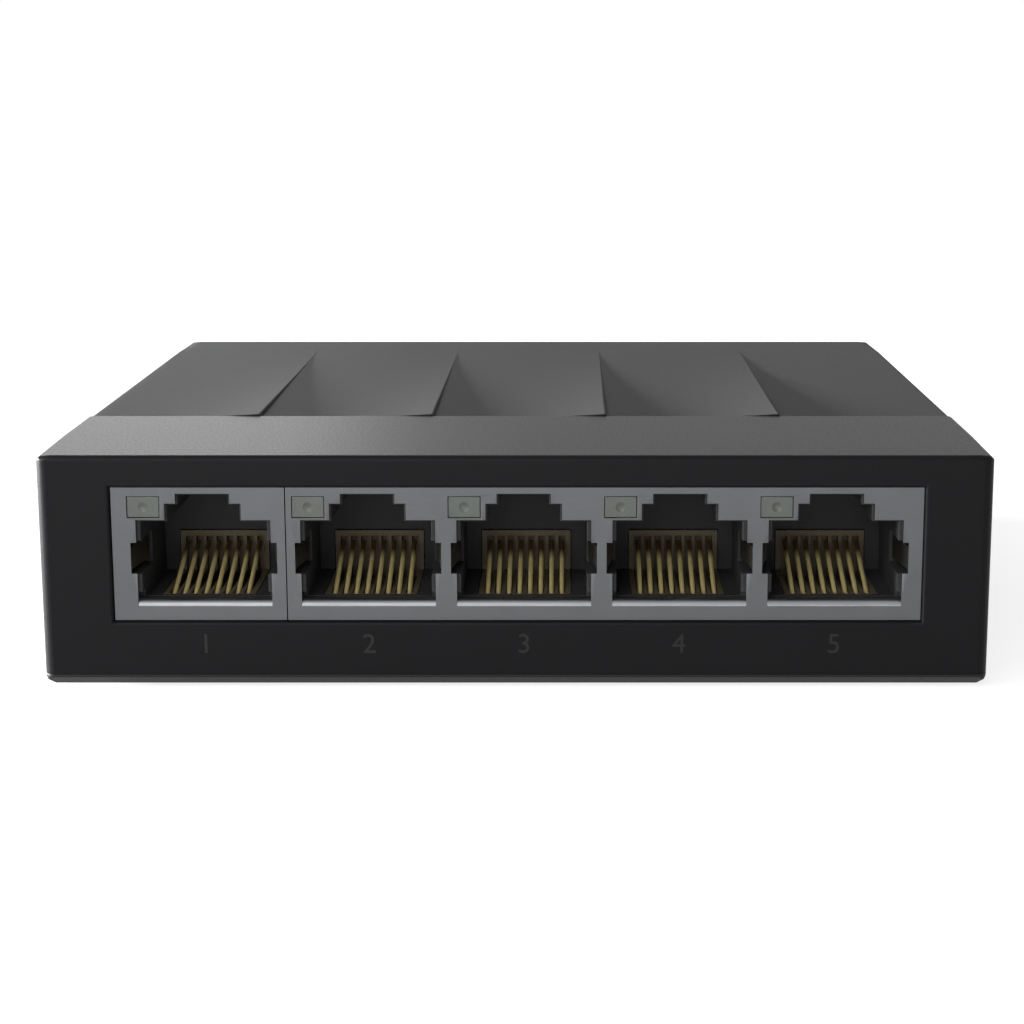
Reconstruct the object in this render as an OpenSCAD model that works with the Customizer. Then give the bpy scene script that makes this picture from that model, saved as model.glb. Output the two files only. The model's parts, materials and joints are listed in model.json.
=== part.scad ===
// Five-port desktop network switch: a two-piece moulded case round one circuit board,
// with a single jack and a four-port ganged jack in the front wall and a power inlet in the rear wall.
// Millimetres. +X is to the right seen from the front, the front faces -Y, +Z is up.
// The origin is on the desk, under the middle of the case.

/* [Case] */
// Width of the case, left to right
case_w = 90; // [89:0.5:96]
// Depth of the case, front to back
case_d = 72; // [70:1:90]
// Height of the case without its feet
case_h = 22.4; // [21.6:0.2:26]
// Thickness of the moulded walls
wall = 1.8; // [1.6:0.1:2.2]
// Radius of the upright corners of the case
corner_r = 1.2; // [0.8:0.1:2.5]
// Height of the strip of bottom cover that shows below the top cover
base_strip = 1.2; // [1:0.1:1.5]
// Slope cut along the lower edge of that strip
base_bevel = 0.9; // [0.3:0.1:0.9]
// Height that the rubber feet lift the case off the desk
foot_lift = 0.5; // [0.3:0.1:1]
// Radius of a rubber foot
foot_r = 4; // [3:0.5:5]

/* [Top pattern] */
// Number of equal strips across the top
strip_count = 5; // [4:1:6]
// Depth of the plain band along the front edge of the top
band_d = 19.5; // [14:0.5:26]
// Height of a fold's raised corner above the plain band
fold_rise = 0.2; // [0.1:0.05:1]
// Depth of a fold's low edge below the plain band
fold_drop = 0.2; // [0.1:0.05:0.6]
// Distance behind the band at which the folds have died out
fold_run = 44; // [30:1:48]

/* [Ports] */
// Position of the single port's middle, across the case
single_port_x = -29.4; // [-29.6:0.1:-29.2]
// Position of the first ganged port's middle, across the case
gang_port_x = -13.9; // [-14:0.1:-13.8]
// Distance between ganged ports
port_pitch = 14.7; // [14.6:0.05:14.8]
// Height of a jack above the board
jack_h = 12.9; // [12.7:0.1:13.2]
// Depth of a jack, front to back
jack_d = 17; // [16:0.5:20]
// Width of a plug cavity
cavity_w = 11.9; // [11.7:0.1:12]
// Thickness of the jack shields' sheet metal
sheet = 0.25; // [0.2:0.05:0.3]
// Diameter of a contact wire
wire_d = 0.44; // [0.36:0.02:0.46]
// Slope of the contact wires when no plug is in
wire_slope = 25; // [22:0.5:26]

/* [Power inlet] */
// Position of the power inlet's middle, across the case
inlet_x = -27; // [-29:0.5:29]
// Radius of the inlet's barrel
barrel_r = 3.1; // [2.9:0.1:3.3]
// Radius of the inlet's centre pin
inlet_pin_r = 1; // [0.8:0.05:1.25]

/* [Wall mounting] */
// Distance between the two keyholes
keyhole_span = 56; // [46:1:60]
// Radius of a keyhole's round mouth
keyhole_r = 3.4; // [3:0.1:4]
// Half width of a keyhole's slot
keyhole_slot_r = 1.75; // [1.5:0.05:2]

/* [Hidden] */
$fn = 48;
port_count = 5;
gang_first = 2;
wire_count = 8;
wire_pitch = 1.02;
gap = 0.1;
through = 1;

// Levels and faces of the case
case_bottom_z = foot_lift;
seam_z = case_bottom_z + base_strip;
case_top_z = case_bottom_z + case_h;
strip_z = case_top_z - fold_drop;
ceiling_z = strip_z - 1.7;
floor_top_z = seam_z + 0.4;
front_y = -case_d / 2;
rear_y = case_d / 2;
band_y = front_y + band_d;
inner_w = case_w - 2 * wall;
inner_d = case_d - 2 * wall;
strip_w = case_w / strip_count;
fold_curve = 3;

// Circuit board
board_t = 1.6;
board_top_z = case_bottom_z + 6.4;
board_bottom_z = board_top_z - board_t;
board_w = inner_w - 2;
board_front_y = front_y + wall + 0.4;
board_rear_y = rear_y - wall - 0.8;

// Screws, bosses and posts
screw_x = case_w / 2 - 6.5;
screw_y = rear_y - 6.5;
screw_head_r = 2.3;
screw_shank_r = 1.15;
screw_seat_z = case_bottom_z + 2.1;
screw_tip_z = board_top_z + 6.2;
boss_r = 2.9;
pilot_r = 1.2;
post_x = case_w / 2 - 4.6;
post_y = front_y + 10;
post_pin_r = 0.9;
post_pin_up = 0.6;
rim_t = 1.2;
rim_top_z = board_bottom_z - 0.3;
nub_z = seam_z + 1.6;
nub_r = 0.45;
nub_w = 9;
nub_x = 22;

// Feet and keyholes
foot_x = case_w / 2 - 12;
foot_y = case_d / 2 - 12;
foot_sink = 0.5;
keyhole_y = 4;
keyhole_run = 7;

// Jack levels, measured up from the board
jack_front_y = front_y + 0.4;
window_gap = 0.15;
port_floor = 1.95;
main_top = 9.75;
main_w = 12.7;
notch_low = 4.55;
notch_high = 7.55;
notch_w = 13.8;
latch_w = 7.2;
latch_top = 11.35;
tip_w = 5.1;
tip_top = 12.3;
cavity_d = 10.5;
cavity_floor = 2;
skin = 0.18;
seam_x = (single_port_x + gang_port_x) / 2;
shield_left = single_port_x - 8.6;
shield_right = gang_port_x + 3 * port_pitch + 8.2;
lip_d = 1.3;
lip_w = main_w;
lip_roll_r = 0.65;
lip_room = 1;
tab_y = jack_front_y + 8;
finger_run = 4.2;
led_x = -5.6;
led_z = 11;
led_w = 2.9;
led_h = 1.9;
led_d = 8;

// Contact wires and leads, measured from the jack's front face and the board
bend_y = 2.75;
bend_z = 1.5;
bend_r = 0.3;
bend_w = wire_d + 0.08;
wire_run = 8.3;
wire_tip_z = bend_z + wire_run * sin(wire_slope) + wire_d / 2;
lead_t = 0.3;
lead_z = 0.45;
stub_y = 2;
tail_y = [7, 9.54];
tail_drop = board_t + 1.2;
comb_w = wire_count * wire_pitch + 0.7;
comb_front = 1.95;
comb_rear = 13.3;
comb_slot_w = 0.66;
comb_slot_z = bend_z - bend_r - 0.2;
comb_slot_y = stub_y + lead_t;
comb_slot_d = bend_y + wire_run + 0.3 - comb_slot_y;
comb_slot_h = wire_tip_z + 0.2 - comb_slot_z;
comb_top = comb_slot_z + comb_slot_h + 0.6;

// Power inlet, in the case's frame
inlet_w = 9;
inlet_d = 14.2;
inlet_h = 10.8;
inlet_rear_y = rear_y - 0.4;
inlet_front_y = inlet_rear_y - inlet_d;
inlet_z = board_top_z + 6.3;
barrel_d = 9.6;
leaf_bend_y = inlet_front_y + 2.8;
leaf_bend_z = inlet_z - 4.5;
leaf_bend_r = 0.4;
leaf_run = 8.4;
leaf_slope = 11;
leaf_w = 2.2;
leaf_t = 0.3;
leaf_room = 0.8;
rivet_r = 0.8 * inlet_pin_r;
rivet_gap = 0.03;
tail_w = 2;
tail_t = 0.4;
terminal_y = inlet_front_y - tail_t - 0.15;

// Parts on the board
transformer_size = [7.2, 15.1, 5.8];
transformer_y = jack_front_y + jack_d + 9.4;
chip_size = [14, 14, 1.4];
chip_at = [6, 16.5];
chip_lead_count = 16;
pad_t = 0.5;
sink_base_t = 1.6;
sink_h = 6.5;
sink_fins = 6;
sink_w = 14;
capacitor_at = [[-17.5, 28.5], [-9.5, 28.5]];
capacitor_r = 3.15;
capacitor_h = 7.7;
capacitor_base_h = 0.8;
memory_at = [-10, 14];
memory_size = [5, 4, 1.5];
regulator_at = [-10, 21];
regulator_size = [4.9, 3.9, 1.5];
inductor_at = [-17.5, 19.5];
inductor_size = [6, 6, 4];
inductor_core_r = 2;
crystal_at = [24, 12];
crystal_size = [11, 4.5, 3.4];
diode_at = [-36, 20];
diode_size = [2.6, 4.4, 2.2];
small_part = [1.6, 0.8];
small_pitch = 2.4;
small_per_port = 4;
small_row_y = transformer_y + 9.6;

RUBBER = "#1d1d1f";
BLACK = "#262627";
JACK_BLACK = "#202123";
STEEL = "#9fa2a3";
GOLD = "#c9a44a";
TIN = "#c9cbcc";
SOLDER_MASK = "#14532f";
LENS = "#d7e2d2";
ALUMINIUM = "#b7babd";
CERAMIC = "#b59a78";
FERRITE = "#3a3a3c";

FEET = ["front_left", "front_right", "rear_left", "rear_right"];
PORTS = [for (n = [1:port_count]) n];

// Middle of port n across the case; port 1 is the single jack
function port_x(n) = n < gang_first ? single_port_x : gang_port_x + (n - gang_first) * port_pitch;
// Middle of wire i across its port
function wire_x(i) = (i - (wire_count - 1) / 2) * wire_pitch;
// Sides of the plastic housing of port n, measured from the port's middle
function housing_left(n) =
    (n == 1 ? shield_left - port_x(n) : n == gang_first ? seam_x - port_x(n) : -port_pitch / 2)
    + (n <= gang_first ? sheet + gap : gap / 4);
function housing_right(n) =
    (n == 1 ? seam_x - port_x(n) : n == port_count ? shield_right - port_x(n) : port_pitch / 2)
    - (n == 1 || n == port_count ? sheet + gap : gap / 4);
// Height of fold surface at u across a strip and v from its front to its end
function fold_z(u, v) = strip_z + (fold_rise + fold_drop) * pow(u, fold_curve) * (1 - v);

module rounded_outline(w, d, r) {
    union() {
        square([w - 2 * r, d], center = true);
        square([w, d - 2 * r], center = true);
        for (x = [-1, 1], y = [-1, 1])
            translate([x * (w / 2 - r), y * (d / 2 - r)]) circle(r);
    }
}

// Rounded block that stands between two levels
module rounded_block(w, d, r, low, high) {
    translate([0, 0, low]) linear_extrude(high - low) rounded_outline(w, d, r);
}

// Upright shape: an outline drawn across and up, carried back by a depth
module upright(depth) {
    translate([0, depth, 0]) rotate([90, 0, 0]) linear_extrude(depth) children();
}

// Box from its middle across, its front and its bottom
module front_box(w, d, h) {
    translate([-w / 2, 0, 0]) cube([w, d, h]);
}

module at_port(n) {
    translate([port_x(n), jack_front_y, board_top_z]) children();
}

module at_screws() {
    for (side = [-1, 1]) translate([side * screw_x, screw_y, 0]) children();
}

module at_posts() {
    for (side = [-1, 1]) translate([side * post_x, post_y, 0]) children();
}

module at_keyholes() {
    for (side = [-1, 1]) translate([side * keyhole_span / 2, keyhole_y, 0]) children();
}

// Round rib along X, used for the snap nubs and their grooves, the bent lips and the sprung bends
module rib(length, r) {
    rotate([0, 90, 0]) cylinder(h = length, r = r, center = true);
}

// One fold of the top: a strip that twists up to a raised corner at its right front
module fold(index) {
    across = 10;
    under = 1;
    left = -case_w / 2 + index * strip_w;
    ends = [0, 1];
    us = [for (i = [0:across]) i / across];
    tops = [for (u = us, v = ends) [left + u * strip_w, band_y + v * fold_run, fold_z(u, v)]];
    lows = [for (u = us, v = ends) [left + u * strip_w, band_y + v * fold_run, strip_z - under]];
    low = len(tops);
    cells = [for (i = [0:across - 1]) 2 * i];
    last = 2 * across;
    polyhedron(concat(tops, lows), concat(
        [for (k = cells) [k, k + 1, k + 3]],
        [for (k = cells) [k, k + 3, k + 2]],
        [for (k = cells) [low + k, low + k + 2, low + k + 3, low + k + 1]],
        [for (k = cells) [k, k + 2, low + k + 2, low + k]],
        [for (k = cells) [k + 3, k + 1, low + k + 1, low + k + 3]],
        [[1, 0, low, low + 1], [last, last + 1, low + last + 1, low + last]]
    ));
}

module top_plate() {
    rounded_block(case_w, case_d, corner_r, seam_z, strip_z);
    intersection() {
        rounded_block(case_w, case_d, corner_r, strip_z - 1, case_top_z);
        translate([-case_w, front_y - 1, 0]) cube([2 * case_w, band_d + 1, 2 * case_h]);
    }
    for (index = [0:strip_count - 2]) fold(index);
}

module jack_window() {
    window_w = shield_right - shield_left + 2 * window_gap;
    translate([shield_left - window_gap, front_y - through, board_top_z - window_gap])
        cube([window_w, wall + 2 * through, jack_h + 2 * window_gap]);
}

module inlet_window() {
    translate([inlet_x, rear_y - wall - through, board_top_z - window_gap])
        front_box(inlet_w + 2 * window_gap, wall + 2 * through, inlet_h + 2 * window_gap);
}

// Row of upright vent slots through both side walls
module side_vents() {
    slot_w = 1.4;
    slot_h = 7;
    slots = 9;
    pitch = 3.2;
    low = board_top_z + 4;
    for (k = [0:slots - 1])
        translate([0, (k - 2) * pitch, low + slot_h / 2])
            cube([2 * case_w, slot_w, slot_h], center = true);
}

module top_cover() {
    color(BLACK) {
        difference() {
            top_plate();
            rounded_block(inner_w, inner_d, 0.6, seam_z - through, ceiling_z);
            jack_window();
            inlet_window();
            side_vents();
            for (side = [-1, 1])
                translate([side * nub_x, -inner_d / 2, nub_z]) rib(nub_w + 1, nub_r + gap);
        }
        at_screws() difference() {
            translate([0, 0, board_top_z + gap / 2])
                cylinder(h = ceiling_z - board_top_z + 0.5, r = boss_r);
            cylinder(h = screw_tip_z + 1.5, r = pilot_r);
        }
    }
}

// Sloped cut along one lower edge of the bottom cover
module edge_bevel(length) {
    rotate([0, 90, 0]) linear_extrude(length, center = true)
        polygon([[through, -through], [-base_bevel, -through], [-base_bevel, 0], [0, base_bevel],
            [through, base_bevel]]);
}

module keyhole_cut() {
    cylinder(h = 4 * wall, r = keyhole_r, center = true);
    translate([0, keyhole_run, 0]) cylinder(h = 4 * wall, r = keyhole_slot_r, center = true);
    translate([-keyhole_slot_r, 0, -2 * wall]) cube([2 * keyhole_slot_r, keyhole_run, 4 * wall]);
}

module floor_vents() {
    slot_w = 1.6;
    slot_d = 17;
    slots = 9;
    pitch = 3.6;
    middle_y = -3;
    for (k = [0:slots - 1])
        translate([(k - (slots - 1) / 2) * pitch, middle_y, 0])
            cube([slot_w, slot_d, 6 * wall], center = true);
}

module at_feet(name) {
    for (f = [0:3])
        if (FEET[f] == name || name == "all")
            translate([(f % 2 == 0 ? -1 : 1) * foot_x, (f < 2 ? -1 : 1) * foot_y, 0]) children();
}

module bottom_cover() {
    rim_gap = 0.15;
    rim_w = inner_w - 2 * rim_gap;
    rim_d = inner_d - 2 * rim_gap;
    color(BLACK) difference() {
        union() {
            rounded_block(case_w, case_d, corner_r, case_bottom_z, seam_z - gap / 2);
            rounded_block(rim_w, rim_d, 0.5, case_bottom_z + 0.2, floor_top_z);
            difference() {
                rounded_block(rim_w, rim_d, 0.5, floor_top_z - 0.2, rim_top_z);
                rounded_block(rim_w - 2 * rim_t, rim_d - 2 * rim_t, 0.5, 0, rim_top_z + through);
            }
            for (side = [-1, 1])
                translate([side * nub_x, -rim_d / 2, nub_z]) rib(nub_w, nub_r);
            at_screws() translate([0, 0, floor_top_z - 0.2])
                cylinder(h = board_bottom_z - floor_top_z + 0.2 - gap / 2, r = boss_r + 0.5);
            at_posts() {
                translate([0, 0, floor_top_z - 0.2])
                    cylinder(h = board_bottom_z - floor_top_z + 0.2 - gap / 2, r = 2 * post_pin_r);
                translate([0, 0, floor_top_z])
                    cylinder(h = board_top_z + post_pin_up - floor_top_z, r = post_pin_r);
            }
        }
        for (side = [-1, 1]) {
            translate([0, side * rear_y, case_bottom_z]) rotate(side > 0 ? 180 : 0) edge_bevel(2 * case_w);
            translate([side * case_w / 2, 0, case_bottom_z]) rotate(side * 90) edge_bevel(2 * case_d);
        }
        at_screws() {
            cylinder(h = screw_seat_z, r = screw_head_r + 0.3);
            cylinder(h = 2 * case_h, r = screw_shank_r + 0.25);
        }
        at_keyholes() keyhole_cut();
        at_feet("all") cylinder(h = case_bottom_z + foot_sink, r = foot_r + gap);
        floor_vents();
    }
}

// Cross-head screws that pull the bottom cover, the board and the top cover together
module case_screws() {
    head_t = 1.5;
    slot = 0.6;
    slot_d = 0.9;
    color(STEEL) at_screws() difference() {
        union() {
            translate([0, 0, screw_seat_z - head_t]) cylinder(h = head_t, r = screw_head_r);
            translate([0, 0, screw_seat_z - 2 * gap])
                cylinder(h = screw_tip_z - screw_seat_z, r = screw_shank_r);
        }
        for (turn = [0, 90])
            translate([0, 0, screw_seat_z - head_t]) rotate(turn)
                cube([2 * screw_head_r - 1.6, slot, 2 * slot_d], center = true);
    }
}

module foot(name) {
    color(RUBBER) at_feet(name) difference() {
        cylinder(h = foot_lift + foot_sink - gap / 2, r = foot_r);
        translate([0, 0, -foot_lift]) cylinder(h = foot_lift + 0.25, r = foot_r / 3);
    }
}

module circuit_board() {
    hole_r = 0.42;
    color(SOLDER_MASK) difference() {
        translate([-board_w / 2, board_front_y, board_bottom_z])
            cube([board_w, board_rear_y - board_front_y, board_t]);
        at_screws() cylinder(h = 2 * case_h, r = screw_shank_r + 0.35);
        at_posts() cylinder(h = 2 * case_h, r = post_pin_r + gap);
        for (n = PORTS, i = [0:wire_count - 1])
            at_port(n) translate([wire_x(i), tail_y[i % 2], -2 * board_t])
                cylinder(h = 3 * board_t, r = hole_r);
        shield_tabs(0.15);
        inlet_tails(0.15);
    }
}

// Outline of a port's opening in the shield
module port_outline() {
    for (step = [[main_w, main_top], [latch_w, latch_top], [tip_w, tip_top]])
        translate([-step[0] / 2, port_floor]) square([step[0], step[1] - port_floor]);
    translate([-notch_w / 2, notch_low]) square([notch_w, notch_high - notch_low]);
}

// Outline of the plug cavity in the housing, a skin smaller than the shield's opening
module cavity_outline() {
    for (step = [[cavity_w, main_top], [latch_w - 2 * skin, latch_top], [tip_w - 2 * skin, tip_top]])
        translate([-step[0] / 2, cavity_floor]) square([step[0], step[1] - skin - cavity_floor]);
}

// Solder tabs of both shields, grown by a clearance for the board's slots
module shield_tabs(grow) {
    tab_d = 1.6;
    for (x = [shield_left, seam_x - gap / 2 - sheet, seam_x + gap / 2, shield_right - sheet])
        translate([x - grow, tab_y - grow, board_top_z - tail_drop])
            cube([sheet + 2 * grow, tab_d + 2 * grow, tail_drop + sheet]);
}

// Grounding fingers, bent in from the shield at both sides of a port
module fingers() {
    finger_h = 2.2;
    finger_t = 0.2;
    root_x = notch_w / 2;
    tip_x = main_w / 2 - finger_t;
    profile = [[root_x + finger_t, 0], [root_x, 0], [tip_x, finger_run], [tip_x + finger_t, finger_run]];
    for (side = [-1, 1])
        translate([0, 0, (notch_low + notch_high - finger_h) / 2]) linear_extrude(finger_h)
            polygon([for (p = profile) [side * p[0], p[1]]]);
}

// What the bend of the lip takes off the lower edge of a port's opening, outside and inside the bend
module lip_roll() {
    difference() {
        translate([0, -through, port_floor - lip_roll_r])
            front_box(lip_w, lip_roll_r + through, lip_roll_r + gap);
        translate([0, lip_roll_r, port_floor - lip_roll_r]) rib(2 * lip_w, lip_roll_r);
    }
    translate([0, lip_roll_r, port_floor - lip_roll_r]) rib(lip_w + gap, lip_roll_r - sheet);
}

// Folded sheet-metal can, open below, with the ports' openings and their bent lips in its front
module shield_can(left, right, ports) {
    difference() {
        translate([left, jack_front_y, board_top_z]) cube([right - left, jack_d, jack_h]);
        translate([left + sheet, jack_front_y + sheet, board_top_z - through])
            cube([right - left - 2 * sheet, jack_d - 2 * sheet, jack_h - sheet + through]);
        for (n = ports) at_port(n) {
            translate([0, -through, 0]) upright(2 * through) port_outline();
            translate([led_x, -through, led_z - led_h / 2 - gap])
                front_box(led_w + 2 * gap, 2 * through, led_h + 2 * gap);
        }
    }
    for (n = ports) at_port(n) {
        translate([0, 0, port_floor - sheet]) front_box(lip_w, lip_d, sheet);
        translate([0, 0, port_floor - lip_roll_r]) front_box(lip_w, lip_roll_r, lip_roll_r);
    }
}

module jack_shield(left, right, ports) {
    color(STEEL) {
        difference() {
            shield_can(left, right, ports);
            for (n = ports) at_port(n) lip_roll();
        }
        for (n = ports) at_port(n) fingers();
        intersection() {
            shield_tabs(0);
            translate([left, -case_d, 0]) cube([right - left, 2 * case_d, case_h]);
        }
    }
}

module jack_housing(n) {
    left = housing_left(n);
    width = housing_right(n) - left;
    color(JACK_BLACK) at_port(n) difference() {
        translate([left, sheet + gap / 2, gap / 2])
            cube([width, jack_d - 2 * sheet - gap, jack_h - sheet - gap]);
        upright(cavity_d) cavity_outline();
        translate([0, 0, port_floor - sheet - gap / 2]) front_box(lip_w + 2 * gap, lip_d + gap, lip_room);
        translate([0, 0, port_floor - lip_roll_r - gap])
            front_box(lip_w + 2 * gap, lip_roll_r + gap, lip_roll_r);
        translate([0, comb_front - gap / 2, -through])
            front_box(comb_w + gap, comb_rear - comb_front + gap, comb_top + gap + through);
        translate([led_x, 0, led_z - led_h / 2 - gap / 2]) front_box(led_w + gap, led_d + gap, led_h + gap);
        translate([0, 0, notch_low - gap])
            front_box(notch_w + 4 * gap, finger_run + 6 * gap, notch_high - notch_low + 2 * gap);
    }
}

// Fixed length of one contact, from its front stub to its solder tail
module contact_lead(i) {
    translate([wire_x(i) - wire_d / 2, 0, 0]) {
        translate([0, stub_y, lead_z]) cube([wire_d, lead_t, bend_z - lead_z]);
        translate([0, stub_y, lead_z]) cube([wire_d, tail_y[i % 2] - stub_y, lead_t]);
        translate([0, tail_y[i % 2] - lead_t, -tail_drop])
            cube([wire_d, lead_t, tail_drop + lead_z + lead_t]);
    }
}

module contact_leads(n) {
    color(GOLD) at_port(n) for (i = [0:wire_count - 1]) contact_lead(i);
}

// Insert that carries the leads and keeps the wires apart
module contact_comb(n) {
    color(JACK_BLACK) at_port(n) difference() {
        union() {
            translate([0, comb_front, gap]) front_box(comb_w, comb_rear - comb_front, cavity_floor - gap);
            translate([0, cavity_d, gap]) front_box(comb_w, comb_rear - cavity_d, comb_top - gap);
        }
        for (i = [0:wire_count - 1]) {
            contact_lead(i);
            translate([wire_x(i), stub_y, lead_z]) front_box(wire_d, lead_t, 2 * bend_z);
            translate([wire_x(i), comb_slot_y, comb_slot_z]) front_box(comb_slot_w, comb_slot_d, comb_slot_h);
        }
    }
}

// Sprung free length of one contact, with the round of its bend
module contact_wire(i) {
    translate([wire_x(i), bend_y, bend_z]) {
        rib(bend_w, bend_r);
        rotate([wire_slope - 90, 0, 0]) cylinder(h = wire_run, r = wire_d / 2);
    }
}

module contact_springs(n) {
    color(GOLD) at_port(n) for (i = [0:wire_count - 1]) contact_wire(i);
}

module port_led(n) {
    color(LENS) at_port(n) translate([led_x, gap / 2, led_z - led_h / 2])
        front_box(led_w, led_d - gap, led_h);
}

module inlet_body() {
    color(JACK_BLACK) difference() {
        translate([inlet_x, inlet_front_y, board_top_z + gap / 2])
            front_box(inlet_w, inlet_d, inlet_h - gap / 2);
        translate([inlet_x, inlet_rear_y + through, inlet_z]) rotate([90, 0, 0])
            cylinder(h = barrel_d + through, r = barrel_r);
        translate([inlet_x, inlet_rear_y, inlet_z]) rotate([90, 0, 0])
            cylinder(h = 2 * inlet_d, r = rivet_r + rivet_gap);
        translate([inlet_x, leaf_bend_y - leaf_room, board_top_z + leaf_room + gap])
            front_box(leaf_w + leaf_room, leaf_run + 2 * leaf_room, inlet_z - board_top_z - leaf_room - gap);
        inlet_tails(rivet_gap);
    }
}

// Centre pin: a stepped round pin with a rounded tip, riveted at its inner end
module inlet_pin() {
    inner = inlet_d + 0.6;
    step = barrel_d;
    tip = 0.9;
    round = 0.45;
    color(TIN) translate([inlet_x, inlet_rear_y, inlet_z]) rotate([90, 0, 0]) rotate_extrude()
        polygon([[0, inner], [rivet_r, inner], [rivet_r, step], [inlet_pin_r, step], [inlet_pin_r, tip],
            [inlet_pin_r - round, tip - round], [0, tip - round]]);
}

// Solder tails of the inlet, grown by a clearance for the board's slots
module inlet_tails(grow) {
    above = 1.1;
    for (y = [terminal_y, leaf_bend_y - tail_t / 2])
        translate([inlet_x - tail_w / 2 - grow, y - grow, board_top_z - tail_drop])
            cube([tail_w + 2 * grow, tail_t + 2 * grow, tail_drop + above]);
}

module inlet_terminals() {
    plate_w = 2.6;
    color(TIN) {
        inlet_tails(0);
        difference() {
            translate([inlet_x, terminal_y, board_top_z + 1])
                front_box(plate_w, tail_t, inlet_z - board_top_z + plate_w / 4);
            translate([inlet_x, inlet_front_y + through, inlet_z]) rotate([90, 0, 0])
                cylinder(h = 3 * through, r = rivet_r + rivet_gap);
        }
    }
}

module inlet_spring() {
    color(TIN) translate([inlet_x, leaf_bend_y, leaf_bend_z]) {
        rib(leaf_w, leaf_bend_r);
        rotate([leaf_slope, 0, 0]) translate([0, 0, -leaf_t / 2]) front_box(leaf_w, leaf_run, leaf_t);
    }
}

// Box on the board, from its middle
module on_board(at, size, lift = 0) {
    translate([at[0] - size[0] / 2, at[1] - size[1] / 2, board_top_z + lift]) cube(size);
}

module line_transformer(n) {
    feet = 12;
    foot_size = [1.4, 0.5, 0.3];
    foot_pitch = 1.17;
    foot_out = (transformer_size[0] + foot_size[0]) / 2 - 2 * gap;
    at = [port_x(n), transformer_y];
    color(JACK_BLACK) on_board(at, transformer_size, foot_size[2]);
    color(TIN) for (side = [-1, 1], k = [0:feet - 1])
        on_board(at + [side * foot_out, (k - (feet - 1) / 2) * foot_pitch], foot_size);
}

module switch_chip() {
    color(BLACK) on_board(chip_at, chip_size, gap);
}

module switch_chip_leads() {
    lead = [0.3, 1, 0.18];
    pitch = 0.8;
    lead_gap = 0.02;
    color(TIN) for (turn = [0:90:270], k = [0:chip_lead_count - 1])
        translate([chip_at[0], chip_at[1], board_top_z]) rotate(turn)
            translate([(k - (chip_lead_count - 1) / 2) * pitch, chip_size[1] / 2 + lead_gap, 0])
                front_box(lead[0], lead[1], lead[2]);
}

module thermal_pad() {
    color(TIN) on_board(chip_at, [chip_size[0] - 2, chip_size[1] - 2, pad_t], gap + chip_size[2]);
}

module heat_sink() {
    lift = gap + chip_size[2] + pad_t;
    fin_t = 0.9;
    fin_pitch = (sink_w - fin_t) / (sink_fins - 1);
    color(ALUMINIUM) {
        on_board(chip_at, [sink_w, sink_w, sink_base_t], lift);
        for (k = [0:sink_fins - 1])
            on_board(chip_at + [(k - (sink_fins - 1) / 2) * fin_pitch, 0], [fin_t, sink_w, sink_h], lift);
    }
}

module memory_chip() {
    color(BLACK) on_board(memory_at, memory_size, gap);
}

module regulator_chip() {
    color(BLACK) on_board(regulator_at, regulator_size, gap);
}

module power_inductor() {
    dimple = 0.4;
    color(FERRITE) difference() {
        on_board(inductor_at, inductor_size);
        translate([inductor_at[0], inductor_at[1], board_top_z + inductor_size[2] - dimple])
            cylinder(h = 2 * dimple, r = inductor_core_r);
    }
}

module bulk_capacitor(k) {
    color(ALUMINIUM) translate([capacitor_at[k][0], capacitor_at[k][1], board_top_z]) union() {
        translate([-capacitor_r, -capacitor_r, 0]) cube([2 * capacitor_r, 2 * capacitor_r, capacitor_base_h]);
        translate([0, 0, capacitor_base_h - gap])
            cylinder(h = capacitor_h - capacitor_base_h + gap, r = capacitor_r - gap);
    }
}

module crystal_can() {
    end_r = crystal_size[1] / 2;
    straight = crystal_size[0] - 2 * end_r;
    color(TIN) union() {
        on_board(crystal_at, [straight, crystal_size[1], crystal_size[2]]);
        for (side = [-1, 1])
            translate([crystal_at[0] + side * straight / 2, crystal_at[1], board_top_z])
                cylinder(h = crystal_size[2], r = end_r);
    }
}

module input_diode() {
    color(BLACK) on_board(diode_at, diode_size);
}

// Row of small surface-mount parts behind the transformers, a few to each port
module small_row(y, height) {
    for (n = PORTS, k = [0:small_per_port - 1])
        on_board([port_x(n) + (k - (small_per_port - 1) / 2) * small_pitch, y],
            [small_part[0], small_part[1], height]);
}

module chip_capacitors() {
    color(CERAMIC) small_row(small_row_y, 0.8);
}

module chip_resistors() {
    color(BLACK) small_row(small_row_y + 1.8, 0.5);
}

top_cover();
bottom_cover();
case_screws();
for (f = FEET) foot(f);
circuit_board();
jack_shield(shield_left, seam_x - gap / 2, [1]);  // single_jack_shield
jack_shield(seam_x + gap / 2, shield_right, [2:port_count]);  // gang_jack_shield
for (n = PORTS) jack_housing(n);
for (n = PORTS) contact_comb(n);
for (n = PORTS) contact_leads(n);
for (n = PORTS) contact_springs(n);
for (n = PORTS) port_led(n);
inlet_body();
inlet_pin();
inlet_terminals();
inlet_spring();
for (n = PORTS) line_transformer(n);
switch_chip();
switch_chip_leads();
thermal_pad();
heat_sink();
memory_chip();
regulator_chip();
power_inductor();
bulk_capacitor(0);  // bulk_capacitor_1
bulk_capacitor(1);  // bulk_capacitor_2
crystal_can();
input_diode();
chip_capacitors();
chip_resistors();
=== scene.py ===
"""Looks of a five-port desktop network switch, built round its construction model.

The visible pieces are modelled here over their construction nodes, in metres and in the same frame:
+X to the right seen from the front, the front faces -Y, +Z up, the origin on the desk.
"""

import json
import math

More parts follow.
